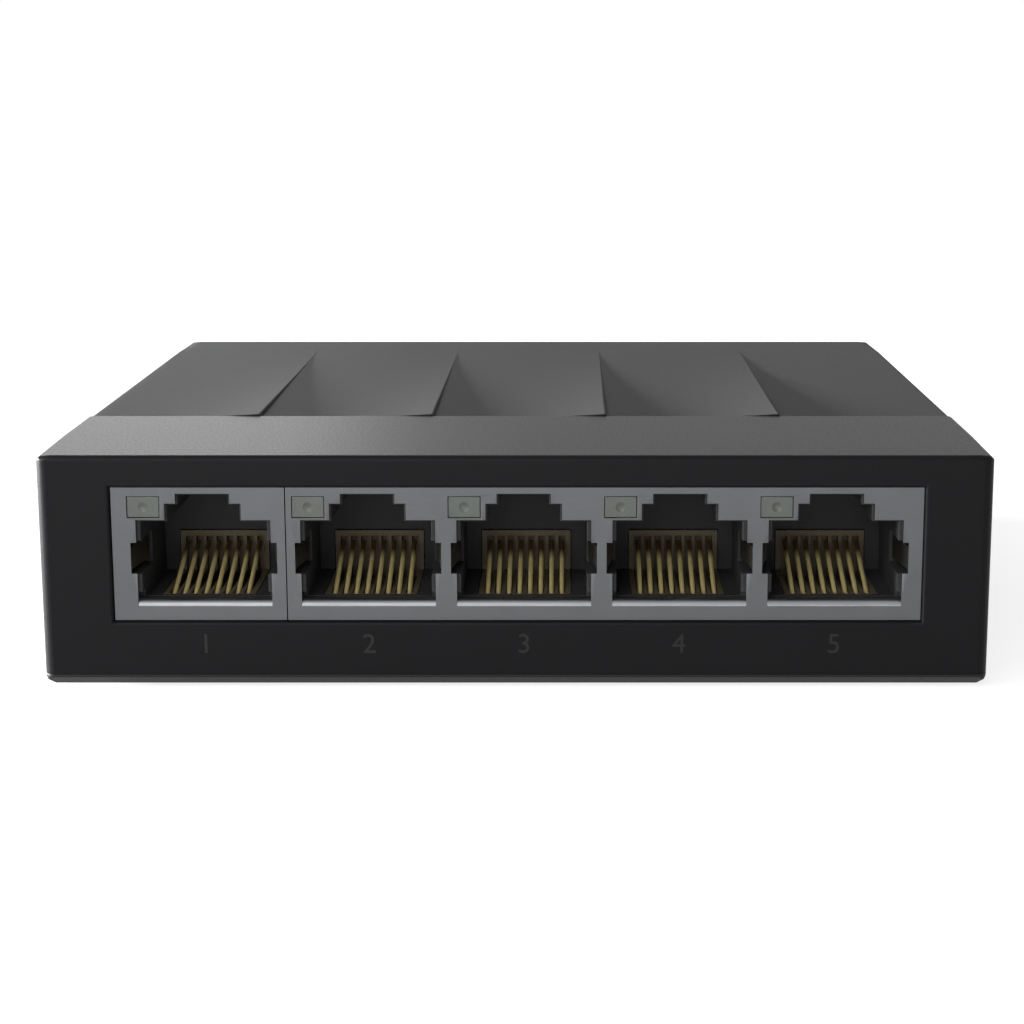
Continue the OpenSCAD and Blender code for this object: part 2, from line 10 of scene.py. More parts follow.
import bpy
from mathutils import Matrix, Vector


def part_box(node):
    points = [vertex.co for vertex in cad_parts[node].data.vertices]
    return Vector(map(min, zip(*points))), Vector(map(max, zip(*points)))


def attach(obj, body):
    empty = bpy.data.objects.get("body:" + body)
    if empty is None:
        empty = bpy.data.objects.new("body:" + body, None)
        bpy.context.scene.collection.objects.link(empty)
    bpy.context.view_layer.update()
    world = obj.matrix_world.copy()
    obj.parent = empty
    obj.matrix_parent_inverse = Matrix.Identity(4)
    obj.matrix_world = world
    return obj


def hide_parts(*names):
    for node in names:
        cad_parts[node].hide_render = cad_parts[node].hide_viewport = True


bl_info = {
    "name": "Desktop network switch",
    "version": (1, 0, 0),
    "blender": (4, 5, 0),
    "location": "View3D > Sidebar > Switch",
    "description": "Models and finishes a five-port desktop network switch round its construction model",
    "category": "Add Mesh",
}

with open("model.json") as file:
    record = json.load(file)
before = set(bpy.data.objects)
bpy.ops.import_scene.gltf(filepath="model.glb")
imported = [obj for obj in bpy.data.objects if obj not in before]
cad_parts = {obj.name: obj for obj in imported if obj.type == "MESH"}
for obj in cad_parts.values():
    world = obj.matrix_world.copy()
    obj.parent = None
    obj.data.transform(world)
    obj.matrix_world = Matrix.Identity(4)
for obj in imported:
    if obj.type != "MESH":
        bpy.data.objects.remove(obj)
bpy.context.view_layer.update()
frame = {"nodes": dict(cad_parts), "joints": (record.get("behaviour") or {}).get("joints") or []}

MM = 0.001
# Points closer than this are one point
MERGE = 0.001 * MM
# Points closer than this to a bisecting plane lie on it
ON_PLANE = 0.0005 * MM
# Faces that turn less than this from one another are one flat, on a new piece and on a copy of a node
FLAT, COPIED_FLAT = math.radians(0.05), math.radians(0.5)
# Most values of a noise pattern lie between these
NOISE_LOW, NOISE_HIGH = 0.3, 0.7
PORTS = range(1, 6)
FEET = ("front_left", "front_right", "rear_left", "rear_right")
CASE_BODY = "case"


def srgb(hex_colour):
    """Linear colour of an sRGB hex value."""
    parts = [int(hex_colour[i:i + 2], 16) / 255 for i in (1, 3, 5)]
    linear = [p / 12.92 if p <= 0.04045 else ((p + 0.055) / 1.055) ** 2.4 for p in parts]
    return (*linear, 1.0)


def length_property(name, description, millimetres):
    """Size that a user can change, given in millimetres."""
    return bpy.props.FloatProperty(
        name=name, description=description, default=millimetres * MM, unit="LENGTH", precision=5
    )


def colour_property(name, description, hex_colour):
    """Colour that a user can change, given as an sRGB hex value."""
    return bpy.props.FloatVectorProperty(
        name=name, description=description, default=srgb(hex_colour), size=4, subtype="COLOR", min=0, max=1
    )


class SwitchCase(bpy.types.PropertyGroup):
    """Sizes and colours of the moulded case."""

    wall: length_property("Wall", "Thickness of the moulded walls", 1.8)
    corner_radius: length_property("Corner radius", "Radius of the upright corners", 1.2)
    rim_radius: length_property("Rim radius", "Rounding along the outline of the top", 0.55)
    edge_radius: length_property("Edge radius", "Rounding of the band's and the folds' edges", 0.22)
    window_radius: length_property("Window radius", "Rounding round the windows' mouths", 0.3)
    base_radius: length_property("Base radius", "Rounding of the foot of the case and its holes", 0.15)
    window_gap: length_property("Window gap", "Space between a window and the jack in it", 0.08)
    ceiling: length_property("Ceiling", "Thickness of the top under the low edge of a fold", 1.7)
    band_depth: length_property("Band depth", "Depth of the plain band along the top's front edge", 19.5)
    fold_rise: length_property("Fold rise", "Height of a fold's raised corner above the band", 0.2)
    fold_drop: length_property("Fold drop", "Depth of a fold's low edge below the band", 0.2)
    fold_run: length_property("Fold run", "Distance behind the band at which the folds die out", 44)
    fold_curve: bpy.props.FloatProperty(
        name="Fold curve", description="How late across its strip a fold rises", default=3, min=1, max=6
    )
    fold_fade: bpy.props.FloatProperty(
        name="Fold fade", description="How fast a fold dies out behind its corner", default=1.5, min=1, max=4
    )
    strips: bpy.props.IntProperty(
        name="Strips", description="Number of equal strips across the top", default=5, min=2, max=9
    )
    plastic: colour_property("Plastic", "Colour of the moulded case", "#141416")
    rubber: colour_property("Rubber", "Colour of the feet", "#19191b")
    ink: colour_property("Ink", "Colour of the printed port numbers", "#222223")


class SwitchJacks(bpy.types.PropertyGroup):
    """Sizes and colours of the jacks and the power inlet."""

    sheet_edge: length_property("Sheet edge", "Rounding of the stamped sheet's edges", 0.05)
    plastic_edge: length_property("Plastic edge", "Rounding of the housings' edges", 0.1)
    comb_edge: length_property("Comb edge", "Rounding of the contact combs' edges", 0.04)
    lip_level: length_property("Lip level", "Height of the shields' lips above the board", 1.95)
    lip_radius: length_property("Lip radius", "Radius of the bends of the shields' lips", 0.65)
    wire_diameter: length_property("Wire diameter", "Diameter of a contact wire", 0.44)
    wire_pitch: length_property("Wire pitch", "Distance between contact wires", 1.02)
    wire_run: length_property("Wire run", "Length of a wire past its bend", 8.3)
    wire_bend: length_property("Wire bend", "Radius of a wire's bend, to its middle", 0.5)
    wire_slope: bpy.props.FloatProperty(
        name="Wire slope", description="Slope of the wires when no plug is in", default=math.radians(25),
        subtype="ANGLE",
    )
    wires: bpy.props.IntProperty(
        name="Wires", description="Number of wires in a port", default=8, min=4, max=10
    )
    # Behind this distance a wire turns to its dark tip colour: partly unplated metal, partly painted shade
    wire_plating: length_property("Wire plating", "Distance behind its bend to which a wire is plated", 5.4)
    lens_fill: length_property("Lens fill", "How far a lens fills the slit round it", 0.04)
    dish_radius: length_property("Dish radius", "Radius of the round dish in a lens", 0.5)
    dish_depth: length_property("Dish depth", "Depth of the round dish in a lens", 0.12)
    barrel_radius: length_property("Barrel radius", "Radius of the power inlet's barrel", 3.1)
    barrel_depth: length_property("Barrel depth", "Depth of the power inlet's barrel", 9.6)
    number_height: length_property("Number height", "Height of a printed port number", 1.9)
    number_level: length_property("Number level", "Height of the port numbers' middle above the desk", 4.6)
    shield: colour_property("Shield", "Colour of the plated sheet steel", "#57585a")
    # Lighter than the shield: partly burnish from bending, partly a painted highlight along the top of each
    # lip
    bend: colour_property("Bend", "Colour of the burnished bends of the shields' lips", "#7c7d7f")
    gilt: colour_property("Gilt", "Colour of the gold-plated wires", "#cdbf8b")
    # Dark tip colour of the wires: partly the unplated metal, partly painted shade deep in the port
    bronze: colour_property("Bronze", "Colour of the wires' bare tips", "#54462c")
    plastic: colour_property("Plastic", "Colour of the jack mouldings", "#343435")
    comb: colour_property("Comb", "Colour of the contact combs", "#5a5242")
    lens: colour_property("Lens", "Colour of the milky indicator lenses", "#4b504a")
    die: colour_property("Die", "Colour of the unlit indicator behind its lens", "#41473f")


class SwitchStage(bpy.types.PropertyGroup):
    """Camera and floor."""

    camera_place: bpy.props.FloatVectorProperty(
        name="Camera place", description="Where the camera stands", size=3, subtype="TRANSLATION",
        default=(4.7 * MM, -200.25 * MM, 58.95 * MM),
    )
    camera_pitch: bpy.props.FloatProperty(
        name="Pitch", description="How far the camera looks down", default=math.radians(9.5), subtype="ANGLE"
    )
    lens: bpy.props.FloatProperty(
        name="Lens", description="Focal length on a 36 mm sensor", default=63.31, subtype="DISTANCE_CAMERA"
    )
    shift: bpy.props.FloatVectorProperty(
        name="Shift", description="Lens shift, as a share of the frame", size=2, default=(-0.052, -0.143)
    )
    floor: colour_property("Floor", "Colour of the floor", "#f2f2f2")
    floor_glow: bpy.props.FloatProperty(
        name="Floor glow", description="Brightness of the floor in full shadow", default=0.8, min=0, max=1
    )


def deselect():
    """Leaves edit mode and selects nothing."""
    if bpy.context.mode != "OBJECT":
        bpy.ops.object.mode_set(mode="OBJECT")
    bpy.ops.object.select_all(action="DESELECT")


def activate(piece):
    """Makes a piece the one that the operators act on."""
    deselect()
    piece.select_set(True)
    bpy.context.view_layer.objects.active = piece
    return piece


def apply_place(piece):
    """Moves a piece's place, turn and scale into its mesh."""
    activate(piece)
    bpy.ops.object.transform_apply(location=True, rotation=True, scale=True)
    return piece


def edit(piece, kind="EDGE"):
    """Opens a piece in edit mode with nothing selected."""
    activate(piece)
    bpy.ops.object.mode_set(mode="EDIT")
    bpy.ops.mesh.select_mode(type=kind)
    bpy.ops.mesh.select_all(action="DESELECT")


def leave_edit():
    """Goes back to object mode."""
    bpy.ops.object.mode_set(mode="OBJECT")


def select_faces(piece, test):
    """Selects the faces whose centre and normal pass a test, and stays in edit mode."""
    edit(piece, "FACE")
    leave_edit()
    for face in piece.data.polygons:
        face.select = test(face.center, face.normal)
    bpy.ops.object.mode_set(mode="EDIT")


def add_box(name, low, high):
    """Box between two corners, with its place in its mesh."""
    low, high = Vector(low), Vector(high)
    deselect()
    bpy.ops.mesh.primitive_cube_add(size=1, location=(low + high) / 2)
    piece = bpy.context.object
    piece.name = name
    piece.scale = high - low
    return apply_place(piece)


def apply_modifier(piece, kind, **settings):
    """Adds a modifier with its settings to a piece and applies it."""
    activate(piece)
    modifier = piece.modifiers.new(kind.lower(), kind)
    for key, value in settings.items():
        setattr(modifier, key, value)
    bpy.ops.object.modifier_apply(modifier=modifier.name)


def cut(piece, cutter):
    """Takes a cutter's shape out of a piece, and removes the cutter."""
    apply_modifier(piece, "BOOLEAN", operation="DIFFERENCE", solver="EXACT", object=cutter)
    bpy.data.objects.remove(cutter)


def bevel(piece, radius, segments=2, angle=30):
    """Rounds all the edges of a piece that are sharper than an angle."""
    apply_modifier(
        piece, "BEVEL", width=radius, segments=segments, limit_method="ANGLE",
        angle_limit=math.radians(angle), miter_outer="MITER_ARC", use_clamp_overlap=True,
    )


def bevel_some(piece, test, radius, segments=2, angle=0, clamp=False):
    """Rounds the edges whose two ends pass a test, or only those sharper than an angle if one is given."""
    edit(piece)
    if angle:
        bpy.ops.mesh.edges_select_sharp(sharpness=math.radians(angle))
    else:
        bpy.ops.mesh.select_all(action="SELECT")
    leave_edit()
    points = piece.data.vertices
    chosen = [line.select and test(*[points[i].co for i in line.vertices]) for line in piece.data.edges]
    edit(piece)
    leave_edit()
    for line, picked in zip(piece.data.edges, chosen):
        line.select = picked
    bpy.ops.object.mode_set(mode="EDIT")
    bpy.ops.mesh.bevel(offset=radius, segments=segments, clamp_overlap=clamp)
    leave_edit()


def smooth(piece, angle=40):
    """Smooth shading that keeps the flats flat."""
    activate(piece)
    bpy.ops.object.shade_smooth_by_angle(angle=math.radians(angle))
    apply_modifier(piece, "WEIGHTED_NORMAL", keep_sharp=True)


def join(pieces, name):
    """Makes several pieces one."""
    deselect()
    for piece in pieces:
        piece.select_set(True)
    bpy.context.view_layer.objects.active = pieces[0]
    bpy.ops.object.join()
    pieces[0].name = name
    return pieces[0]


def copy_moved(piece, name, offset):
    """Copy of a piece with its own mesh, moved by an offset."""
    activate(piece)
    bpy.ops.object.duplicate()
    made = bpy.context.object
    made.name = name
    made.location = offset
    return apply_place(made)


def node_copy(node, name, merge_flats=False, partings=()):
    """Piece with a construction node's shape.

    merge_flats joins the triangles of each flat. partings are the places across the piece where its flats
    stay parted, through every hole, because a joined flat can't have a hole in it.
    """
    activate(frame["nodes"][node])
    bpy.ops.object.duplicate()
    piece = bpy.context.object
    piece.name = name
    piece.parent = None
    for key in list(piece.keys()):
        del piece[key]
    edit(piece)
    bpy.ops.mesh.select_all(action="SELECT")
    bpy.ops.mesh.remove_doubles(threshold=MERGE)
    for place in partings:
        bpy.ops.mesh.select_all(action="SELECT")
        bpy.ops.mesh.bisect(plane_co=(place, 0, 0), plane_no=(1, 0, 0), threshold=ON_PLANE)
        bpy.ops.mesh.mark_seam()
    if merge_flats:
        bpy.ops.mesh.select_all(action="SELECT")
        bpy.ops.mesh.dissolve_limited(angle_limit=COPIED_FLAT, delimit={"SEAM"})
    leave_edit()
    return piece


def softened(node, name, radius, segments=2, merge_flats=False):
    """Piece with a construction node's shape and rounded edges."""
    piece = node_copy(node, name, merge_flats)
    bevel(piece, radius, segments)
    smooth(piece)
    return piece


def finish_piece(piece, body, slot, materials, *nodes):
    """Gives a piece its materials, hangs it on the body it rides on and hides the nodes it stands in for."""
    piece.data.materials.clear()
    for material in materials:
        piece.data.materials.append(material)
    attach(piece, body)
    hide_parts(*nodes)


def dress_node(node, material):
    """Gives a construction node that stays in view its material."""
    shape = frame["nodes"][node]
    shape.data.materials.clear()
    shape.data.materials.append(material)


def add_node(tree, kind, inputs=None, **settings):
    """Adds a shader node with its settings, its values and its links."""
    made = tree.nodes.new(kind)
    for key, value in settings.items():
        setattr(made, key, value)
    for key, value in (inputs or {}).items():
        if isinstance(value, bpy.types.NodeSocket):
            tree.links.new(value, made.inputs[key])
        else:
            made.inputs[key].default_value = value
    return made


def per(millimetres):
    """Texture scale that gives a feature its real size."""
    return 1 / (millimetres * MM)


def new_material(name, **values):
    """Material with its shader's own values set, its node tree, shader and object coordinates."""
    material = bpy.data.materials.new(name)
    material.use_nodes = True
    tree = material.node_tree
    shader = tree.nodes["Principled BSDF"]
    for key, value in values.items():
        shader.inputs[key.replace("_", " ")].default_value = value
    place = add_node(tree, "ShaderNodeTexCoord").outputs["Object"]
    return material, tree, shader, place


def shade(colour, factor):
    """Colour made darker or lighter by a factor."""
    return (colour[0] * factor, colour[1] * factor, colour[2] * factor, 1.0)


def grained(name, colour, tones, roughness, mottle, grit, relief=0.0, stretch=(1, 1, 1), **values):
    """Material with a mottled colour and a grit that varies its gloss and its relief.

    tones are the darkest and lightest share of the colour and roughness its least and greatest value.
    mottle, grit and relief are the patterns' sizes and depth in millimetres, and stretch draws the grit out.
    """
    material, tree, shader, place = new_material(name, **values)
    cloud = add_node(tree, "ShaderNodeTexNoise", {"Vector": place, "Scale": per(mottle)})
    drawn = add_node(tree, "ShaderNodeMapping", {"Vector": place, "Scale": stretch})
    pits = add_node(tree, "ShaderNodeTexNoise", {"Vector": drawn.outputs["Vector"], "Scale": per(grit)})
    tone = add_node(
        tree, "ShaderNodeMix",
        {0: cloud.outputs["Fac"], 6: shade(colour, tones[0]), 7: shade(colour, tones[1])}, data_type="RGBA",
    )
    gloss = add_node(tree, "ShaderNodeMapRange", {
        "Value": pits.outputs["Fac"], "From Min": NOISE_LOW, "From Max": NOISE_HIGH,
        "To Min": roughness[0], "To Max": roughness[1],
    })
    tree.links.new(tone.outputs[2], shader.inputs["Base Color"])
    tree.links.new(gloss.outputs["Result"], shader.inputs["Roughness"])
    if relief:
        bumps = add_node(tree, "ShaderNodeBump", {"Height": pits.outputs["Fac"], "Distance": relief * MM})
        tree.links.new(bumps.outputs["Normal"], shader.inputs["Normal"])
    return material


def moulded_plastic(name, colour, roughness, grit, relief, specular, haze=0.0):
    """Plastic from a spark-eroded mould: an even fine pitting that dulls and spreads what it reflects.

    The real pitting is about 0.05 mm, too fine to show, so it is drawn coarser.
    """
    return grained(
        name, colour, tones=(0.9, 1.1), roughness=(roughness - 0.05, roughness + 0.05), mottle=9, grit=grit,
        relief=relief, IOR=1.52, Specular_IOR_Level=specular, Sheen_Weight=haze, Sheen_Roughness=1.0,
    )


def plated_sheet(name, colour):
    """Cold-rolled steel with dull tin plate: fine rolling streaks along the sheet and faint clouding."""
    return grained(
        name, colour, tones=(0.93, 1.07), roughness=(0.32, 0.44), mottle=4, grit=0.25, relief=0.002,
        stretch=(0.06, 1, 1), Metallic=1.0,
    )


def soft_rubber(name, colour):
    """Moulded rubber: very dark, dull, with a dusty bloom."""
    return grained(
        name, colour, tones=(0.8, 1.4), roughness=(0.7, 0.9), mottle=1.2, grit=0.3, relief=0.015, IOR=1.52
    )


def milky_lens(name, colour):
    """Diffusing polycarbonate: light scatters just under a smooth moulded face."""
    return grained(
        name, colour, tones=(0.95, 1.05), roughness=(0.3, 0.4), mottle=0.6, grit=0.4,
        IOR=1.58, Subsurface_Weight=0.3, Subsurface_Scale=0.3 * MM,
    )


def printed_ink(name, colour):
    """Pad-printed dark grey ink: thin and matt, slightly uneven."""
    return grained(
        name, colour, tones=(0.8, 1.1), roughness=(0.55, 0.7), mottle=0.15, grit=0.1, Specular_IOR_Level=0.2
    )


def bare_metal(name, colour, roughness, grit):
    """Bare or plated metal with a fine even grain."""
    return grained(
        name, colour, tones=(0.92, 1.06), roughness=(roughness - 0.07, roughness + 0.07),
        mottle=grit, grit=grit, Metallic=1.0,
    )


def dull_solid(name, colour, roughness, grit):
    """Epoxy, ferrite, ceramic or silicone: plain and dull with a fine speckle."""
    return grained(
        name, colour, tones=(0.8, 1.2), roughness=(roughness - 0.06, roughness + 0.06),
        mottle=grit, grit=grit, IOR=1.5,
    )


def gilt_wire(name, gilt, bronze, plated_lit_to):
    """Phosphor-bronze wire with gold where a plug touches it: warm in front, brown and dull at its tip, which
    is drawn dark partly for the unplated metal and partly as painted shade deep in the port.
    """
    fade, mark_size = 0.7 * MM, 0.3
    darkest, lightest = 0.85, 1.1
    least_rough, most_rough = 0.66, 0.78
    material, tree, shader, place = new_material(name, Metallic=1.0)
    marks = add_node(tree, "ShaderNodeTexNoise", {"Vector": place, "Scale": per(mark_size)}).outputs["Fac"]
    depth = add_node(tree, "ShaderNodeSeparateXYZ", {"Vector": place}).outputs["Y"]
    # Share of the dark tip colour past the plating: partly unplated metal, partly painted shade
    bare_and_shaded = add_node(tree, "ShaderNodeMapRange", {
        "Value": depth, "From Min": plated_lit_to - fade, "From Max": plated_lit_to + fade,
    }).outputs["Result"]
    plate = add_node(
        tree, "ShaderNodeMix", {0: marks, 6: shade(gilt, darkest), 7: shade(gilt, lightest)}, data_type="RGBA"
    ).outputs[2]
    tone = add_node(tree, "ShaderNodeMix", {0: bare_and_shaded, 6: plate, 7: bronze}, data_type="RGBA").outputs[2]
    gloss = add_node(tree, "ShaderNodeMapRange", {
        "Value": marks, "From Min": NOISE_LOW, "From Max": NOISE_HIGH,
        "To Min": least_rough, "To Max": most_rough,
    }).outputs["Result"]
    tree.links.new(tone, shader.inputs["Base Color"])
    tree.links.new(gloss, shader.inputs["Roughness"])
    return material


def solder_mask(name, colour):
    """Epoxy-glass board under green solder mask: glossy, with the copper tracks showing as lighter paths."""
    track_spacing, track_height = 3.2, 0.03 * MM
    edge_from, edge_to = 0.42, 0.46
    bare_tone, track_tone = 0.85, 1.6
    material, tree, shader, place = new_material(name, IOR=1.5, Roughness=0.3)
    cells = add_node(
        tree, "ShaderNodeTexVoronoi", {"Vector": place, "Scale": per(track_spacing)},
        distance="MANHATTAN", feature="F1",
    ).outputs["Distance"]
    tracks = add_node(
        tree, "ShaderNodeMapRange", {"Value": cells, "From Min": edge_from, "From Max": edge_to}
    ).outputs["Result"]
    tone = add_node(
        tree, "ShaderNodeMix",
        {0: tracks, 6: shade(colour, bare_tone), 7: shade(colour, track_tone)}, data_type="RGBA",
    ).outputs[2]
    relief = add_node(tree, "ShaderNodeBump", {"Height": tracks, "Distance": track_height}).outputs["Normal"]
    tree.links.new(tone, shader.inputs["Base Color"])
    tree.links.new(relief, shader.inputs["Normal"])
    return material


def round_drop(distance, radius):
    """How far a quarter-round edge has dropped at a distance in from it."""
    if radius <= 0 or distance >= radius:
        return 0.0
    return radius - math.sqrt(radius ** 2 - (radius - max(distance, 0.0)) ** 2)


class TopShape:
    """Heights of the case's top: a plain band in front, then strips that fold up to their right front corner.

    A step in height is drawn across a sliver, and a share of it at most goes to the rounding of its edge.
    A strip's width and the folds' run are drawn in equal parts.
    """

    sliver = 0.02 * MM
    round_share, round_steps = 0.6, 6
    strip_parts, run_parts = 12, 16
    on_line, on_level, facing_up = 1e-5, 0.00001 * MM, 0.9

    def __init__(self, case):
        self.case = case
        self.low, self.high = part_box("top_cover")
        self.half_w, self.half_d = self.high.x, self.high.y
        self.band_z = self.high.z - case.fold_rise
        self.strip_z = self.band_z - case.fold_drop
        self.band_y = -self.half_d + case.band_depth
        self.strip_w = 2 * self.half_w / case.strips
        self.steps = [-self.half_w + self.strip_w * i for i in range(1, case.strips)]

    def fold(self, x, y):
        """Height of the strips at a point, with the ridge of each fold rounded."""
        case = self.case
        across = (x + self.half_w) / self.strip_w
        index = max(math.ceil(across - self.on_line) - 1, 0)
        if index >= case.strips - 1:
            return self.strip_z
        fade = min(max(1 - (y - self.band_y) / case.fold_run, 0), 1)
        peak = (case.fold_rise + case.fold_drop) * fade ** case.fold_fade
        rise = peak * min(across - index, 1) ** case.fold_curve
        ridge = (index + 1 - across) * self.strip_w
        return self.strip_z + rise - round_drop(ridge, min(case.edge_radius, self.round_share * peak))

    def inside(self, x, y):
        """Distance in from the rounded outline."""
        r = self.case.corner_radius
        qx, qy = abs(x) - self.half_w + r, abs(y) - self.half_d + r
        return r - math.hypot(max(qx, 0), max(qy, 0)) - min(max(qx, qy), 0)

    def height(self, x, y):
        """Height of the top at a point, with the edges of the band, the folds and the outline rounded."""
        radius = self.case.edge_radius
        behind = y - self.band_y
        if behind < self.sliver / 2:
            drop = self.band_z - self.fold(x, self.band_y)
            z = self.band_z - round_drop(-behind, min(radius, self.round_share * drop))
        else:
            z = self.fold(x, y)
            z -= round_drop(behind - self.sliver, min(radius, self.round_share * (z - self.band_z)))
        return z - round_drop(self.inside(x, y), self.case.rim_radius)

    def is_flat(self, at, normal):
        """Whether a face lies in the plane of the band or of the strips."""
        level = self.band_z if at.y < self.band_y else self.strip_z
        return abs(at.z - level) < self.on_level and normal.z > self.facing_up

    def rounding(self, radius):
        """Distances in from an edge at which its rounding is drawn."""
        turns = [math.pi / 2 * i / self.round_steps for i in range(self.round_steps + 1)]
        return [radius * (1 - math.sin(turn)) for turn in turns]

    def lines_across(self):
        """Places across the case where the top's grid has a line."""
        edge = self.rounding(self.case.edge_radius)
        rim = self.rounding(self.case.rim_radius)[:-1]
        lines = [step - d for step in self.steps for d in edge]
        lines += [step + self.sliver for step in self.steps]
        lines += [side * (self.half_w - d) for side in (-1, 1) for d in rim]
        parts = self.strip_parts * self.case.strips
        lines += [-self.half_w + 2 * self.half_w * i / parts for i in range(1, parts) if i % self.strip_parts]
        return sorted(lines)

    def lines_along(self):
        """Places along the depth where the top's grid has a line."""
        edge = self.rounding(self.case.edge_radius)
        rim = self.rounding(self.case.rim_radius)[:-1]
        lines = [self.band_y - d for d in edge]
        lines += [self.band_y + self.sliver + d for d in edge]
        lines += [side * (self.half_d - d) for side in (-1, 1) for d in rim]
        parts = self.run_parts
        lines += [self.band_y + self.case.fold_run * i / parts for i in range(1, parts + 1)]
        lines += [self.band_y - self.case.band_depth / 2]
        return sorted(lines)


def folded_top(case, shape):
    """Open skin of the case's top, with grid lines where the folds and the roundings need them."""
    corner_steps = 8
    deselect()
    bpy.ops.mesh.primitive_plane_add(size=1, location=(0, 0, shape.band_z))
    cover = bpy.context.object
    cover.name = "cover_top"
    cover.scale = (2 * shape.half_w, 2 * shape.half_d, 1)
    apply_place(cover)
    edit(cover, "VERT")
    bpy.ops.mesh.select_all(action="SELECT")
    bpy.ops.mesh.bevel(offset=case.corner_radius, segments=corner_steps, affect="VERTICES")
    for normal, places in (((1, 0, 0), shape.lines_across()), ((0, 1, 0), shape.lines_along())):
        for place in places:
            bpy.ops.mesh.select_all(action="SELECT")
            bpy.ops.mesh.bisect(plane_co=Vector(normal) * place, plane_no=normal, threshold=ON_PLANE)
    leave_edit()
    for point in cover.data.vertices:
        point.co.z = shape.height(point.co.x, point.co.y)
    select_faces(cover, shape.is_flat)
    bpy.ops.mesh.dissolve_limited(angle_limit=FLAT)
    leave_edit()
    return cover


def top_shell(case, shape):
    """Closed shell of the top cover before its windows are cut: the top, the walls and the hollow in them."""
    cover = folded_top(case, shape)
    seam = shape.low.z
    edit(cover)
    bpy.ops.mesh.select_non_manifold()
    bpy.ops.mesh.extrude_edges_move(TRANSFORM_OT_translate={"value": (0, 0, -MM)})
    leave_edit()
    for point in cover.data.vertices:
        if point.select:
            point.co.z = seam
    bpy.ops.object.mode_set(mode="EDIT")
    bpy.ops.mesh.edge_face_add()
    bpy.ops.mesh.select_mode(type="FACE")
    bpy.ops.mesh.extrude_region_move(TRANSFORM_OT_translate={"value": (0, 0, 0)})
    leave_edit()
    inner_w, inner_d = shape.half_w - case.wall, shape.half_d - case.wall
    for point in cover.data.vertices:
        if point.select:
            point.co.x = max(-inner_w, min(inner_w, point.co.x))
            point.co.y = max(-inner_d, min(inner_d, point.co.y))
    bpy.ops.object.mode_set(mode="EDIT")
    bpy.ops.mesh.extrude_region_move(
        TRANSFORM_OT_translate={"value": (0, 0, shape.strip_z - case.ceiling - seam)}
    )
    bpy.ops.mesh.select_all(action="SELECT")
    bpy.ops.mesh.remove_doubles(threshold=MERGE)
    bpy.ops.mesh.normals_make_consistent(inside=False)
    leave_edit()
    return cover


def grown(low, high, gap):
    """Box corners moved out by a gap across and up, and well past the wall in depth."""
    past = 3 * MM
    return (
        Vector((low.x - gap, low.y - past, low.z - gap)),
        Vector((high.x + gap, high.y + past, high.z + gap)),
    )


def cut_windows(cover, case, shape):
    """Cuts the jack window in front, the inlet window behind and the vent slots in both sides."""
    slots, slots_ahead, pitch = 9, 2, 3.2 * MM
    slot_w, slot_h, slot_rise = 1.4 * MM, 7 * MM, 4 * MM
    board_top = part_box("circuit_board")[1].z
    jacks_low, jacks_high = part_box("single_jack_shield")[0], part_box("gang_jack_shield")[1]
    mouth = grown(
        Vector((jacks_low.x, -shape.half_d, board_top)),
        Vector((jacks_high.x, -shape.half_d, jacks_high.z)), case.window_gap,
    )
    inlet_low, inlet_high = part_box("inlet_body")
    inlet_mouth = grown(
        Vector((inlet_low.x, shape.half_d, board_top)),
        Vector((inlet_high.x, shape.half_d, inlet_high.z)), case.window_gap,
    )
    cutters = [add_box("jack_window", *mouth), add_box("inlet_window", *inlet_mouth)]
    reach, slot_z = 2 * shape.half_w, board_top + slot_rise
    for k in range(slots):
        y = (k - slots_ahead) * pitch
        low, high = (-reach, y - slot_w / 2, slot_z), (reach, y + slot_w / 2, slot_z + slot_h)
        cutters.append(add_box("vent_slot", low, high))
    cut(cover, join(cutters, "window_cutter"))
    return mouth, inlet_mouth


def round_mouths(cover, case, shape, mouth, inlet_mouth):
    """Rounds the outer edges of the jack window and of the inlet window."""
    near = 0.002 * MM

    def on(a, b, axis, value):
        return abs(a[axis] - value) < near and abs(b[axis] - value) < near

    def on_rim(a, b, box, y):
        return on(a, b, 1, y) and any(on(a, b, axis, corner[axis]) for corner in box for axis in (0, 2))

    def on_mouth(a, b):
        return on_rim(a, b, mouth, -shape.half_d) or on_rim(a, b, inlet_mouth, shape.half_d)

    bevel_some(cover, on_mouth, case.window_radius, segments=3)


def plain_walls(cover):
    """Joins the upright faces of each wall into plain flats."""
    square_on = 0.99999
    select_faces(cover, lambda at, normal: max(abs(normal.x), abs(normal.y)) > square_on)
    bpy.ops.mesh.dissolve_limited(angle_limit=FLAT)
    leave_edit()


class SWITCH_OT_top_cover(bpy.types.Operator):
    """Models the top cover: the folded top, the walls, the jack and inlet windows and the side vents"""

    bl_idname = "switch.top_cover"
    bl_label = "Top cover"

    def execute(self, context):
        case = context.scene.switch_case
        shape = TopShape(case)
        cover = top_shell(case, shape)
        mouth, inlet_mouth = cut_windows(cover, case, shape)
        round_mouths(cover, case, shape, mouth, inlet_mouth)
        plain_walls(cover)
        smooth(cover)
        wall_finish = moulded_plastic(
            "abs_fine_spark", case.plastic, roughness=0.4, grit=0.22, relief=0.003, specular=0.08
        )
        strip_finish = moulded_plastic(
            "abs_coarse_spark", case.plastic, roughness=0.55, grit=0.3, relief=0.006, specular=0.01, haze=0.13
        )
        finish_piece(cover, CASE_BODY, "case_plastic", [wall_finish, strip_finish], "top_cover")
        facing_up = 0.3
        for face in cover.data.polygons:
            on_strips = face.center.y > shape.band_y + shape.sliver and face.normal.z > facing_up
            face.material_index = 1 if on_strips and face.center.z > shape.strip_z - case.rim_radius else 0
        return {"FINISHED"}


